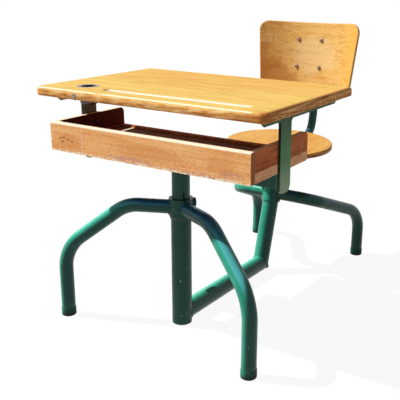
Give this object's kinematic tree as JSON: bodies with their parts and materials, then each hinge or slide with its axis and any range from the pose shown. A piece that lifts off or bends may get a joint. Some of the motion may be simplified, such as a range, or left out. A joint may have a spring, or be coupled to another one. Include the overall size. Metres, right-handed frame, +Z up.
{
  "type": "school desk with attached chair",
  "caption": "Pupil's desk: a wooden top over an open tray on a height-adjustable steel post, joined by a floor tube to an adjustable chair with bent plywood back.",
  "frame": {"origin": "middle of the footprint's bounding box, on the floor", "axes": "+X along the desktop's width, +Y from the desk to the chair, +Z up; the sitter faces -Y"},
  "size_m": [0.61, 0.8464, 0.7043],
  "materials": {
    "varnished_top": "varnished beech, worn at the edges",
    "varnished_tray": "varnished beech, speckled and scuffed",
    "tray_inner_wood": "dark stained wood, satin",
    "tray_panel": "dark stained thin panel",
    "seat_plywood": "varnished bent plywood",
    "green_enamel": "dark green gloss enamel",
    "bare_steel": "dull zinc-plated steel",
    "worn_bolt_steel": "dulled round-headed bolts",
    "black_steel": "blackened steel",
    "black_rubber": "matt black rubber",
    "black_plastic": "matt black plastic",
    "inkwell_plastic": "dark glossy moulded cup"
  },
  "bodies": {
    "base": {"desk_post": "green_enamel", "post_foot_cap": "black_rubber", "post_collar": "green_enamel", "desk_leg_left": "green_enamel", "desk_leg_right": "green_enamel", "desk_foot_cap_left": "black_rubber", "desk_foot_cap_right": "black_rubber", "seat_foot_cap_left": "black_rubber", "seat_foot_cap_right": "black_rubber", "floor_beam": "green_enamel", "seat_column": "green_enamel", "seat_collar": "green_enamel", "seat_leg_left": "green_enamel", "seat_leg_right": "green_enamel"},
    "desk_top": {"height_tube": "green_enamel", "crossbar": "green_enamel", "upright_left": "green_enamel", "upright_right": "green_enamel", "top_bracket_left": "green_enamel", "top_bracket_right": "green_enamel", "desktop": "varnished_top", "edge_plate": "bare_steel", "top_screws": "bare_steel", "tray_front_board": "varnished_tray", "tray_side_left": "tray_inner_wood", "tray_side_right": "tray_inner_wood", "tray_rail_left": "tray_inner_wood", "tray_rail_right": "tray_inner_wood", "tray_rear_rail": "tray_inner_wood", "tray_bottom_panel": "tray_panel", "tray_bolts": "bare_steel"},
    "inkwell": {"inkwell": "inkwell_plastic"},
    "post_clamp": {"post_clamp_screw": "black_steel"},
    "seat_clamp": {"seat_clamp_screw": "black_steel"},
    "seat": {"seat_post": "green_enamel", "seat_plate": "green_enamel", "seat_board": "seat_plywood", "seat_screws": "bare_steel", "back_tube": "green_enamel", "back_tube_cap": "black_plastic", "back_plate": "green_enamel", "backrest_board": "seat_plywood", "backrest_bolts": "worn_bolt_steel", "backrest_nuts": "bare_steel"}
  },
  "joints": [
    {"name": "desk_height", "type": "slide", "parent": "base", "child": "desk_top", "axis": [0, 0, 1], "range_m": [-0.04, 0.1]},
    {"name": "inkwell_lift", "type": "slide", "parent": "desk_top", "child": "inkwell", "axis": [0, -0.0175, 0.9998], "range_m": [0, 0.05]},
    {"name": "post_clamp_turn", "type": "hinge", "parent": "base", "child": "post_clamp", "pos_m": [0, -0.27691, 0.309], "axis": [0.6428, 0.766, 0], "continuous": true},
    {"name": "seat_height", "type": "slide", "parent": "base", "child": "seat", "axis": [0, 0.274, 0.9617], "range_m": [-0.05, 0.08]},
    {"name": "seat_clamp_turn", "type": "hinge", "parent": "base", "child": "seat_clamp", "pos_m": [0, 0.15898, 0.2247], "axis": [0, 0.9617, -0.274], "continuous": true}
  ]
}
